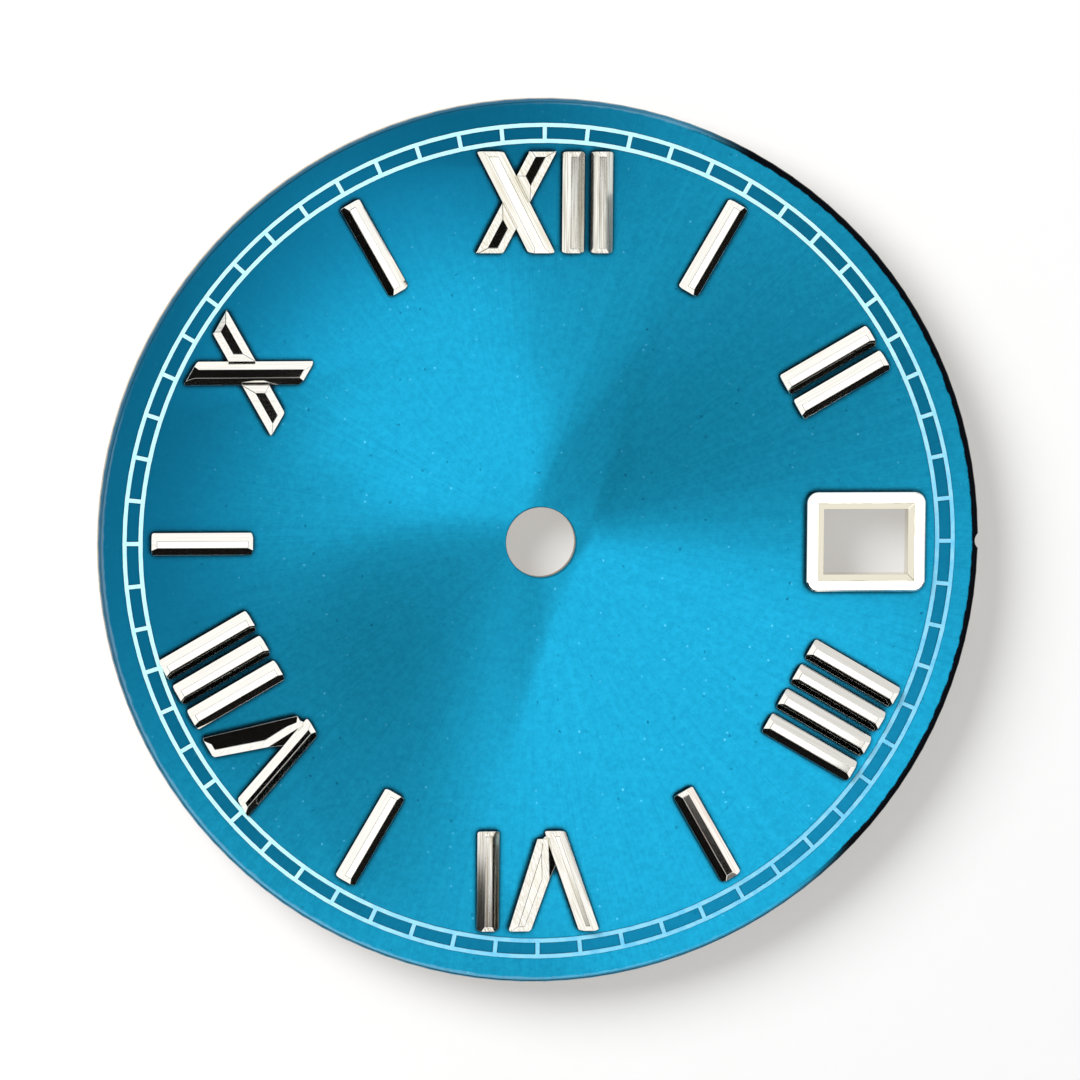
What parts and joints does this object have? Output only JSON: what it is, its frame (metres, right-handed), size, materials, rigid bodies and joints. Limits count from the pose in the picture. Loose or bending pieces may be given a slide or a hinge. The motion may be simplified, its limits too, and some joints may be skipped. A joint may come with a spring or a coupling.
{
  "type": "watch dial",
  "caption": "Round blue sunburst watch dial with applied Roman numerals and batons, a printed minute track, a framed date window and two feet on the back.",
  "frame": {"origin": "centre of the centre hole at the back face of the dial plate", "axes": "+Z along the dial's axis out of the face, +Y towards twelve o'clock, +X towards three o'clock"},
  "size_m": [0.0285, 0.0284, 0.0023],
  "materials": {
    "blue_lacquer": "radially brushed under a glossy translucent blue lacquer, bare brass at the back",
    "white_ink": "thin satin printing ink",
    "polished_steel": "mirror polished facets",
    "copper": "drawn wire, satin"
  },
  "bodies": {
    "root": {"baton_1": "polished_steel", "baton_11": "polished_steel", "baton_5": "polished_steel", "baton_7": "polished_steel", "baton_9": "polished_steel", "date_window_frame": "polished_steel", "dial_foot_lower": "copper", "dial_foot_upper": "copper", "dial_plate": "blue_lacquer", "minute_track_print": "white_ink", "numeral_10_x": "polished_steel", "numeral_12_bar_1": "polished_steel", "numeral_12_bar_2": "polished_steel", "numeral_12_x": "polished_steel", "numeral_2_bar_1": "polished_steel", "numeral_2_bar_2": "polished_steel", "numeral_4_bar_1": "polished_steel", "numeral_4_bar_2": "polished_steel", "numeral_4_bar_3": "polished_steel", "numeral_4_bar_4": "polished_steel", "numeral_6_bar_1": "polished_steel", "numeral_6_v": "polished_steel", "numeral_8_bar_1": "polished_steel", "numeral_8_bar_2": "polished_steel", "numeral_8_bar_3": "polished_steel", "numeral_8_v": "polished_steel"}
  },
  "joints": []
}
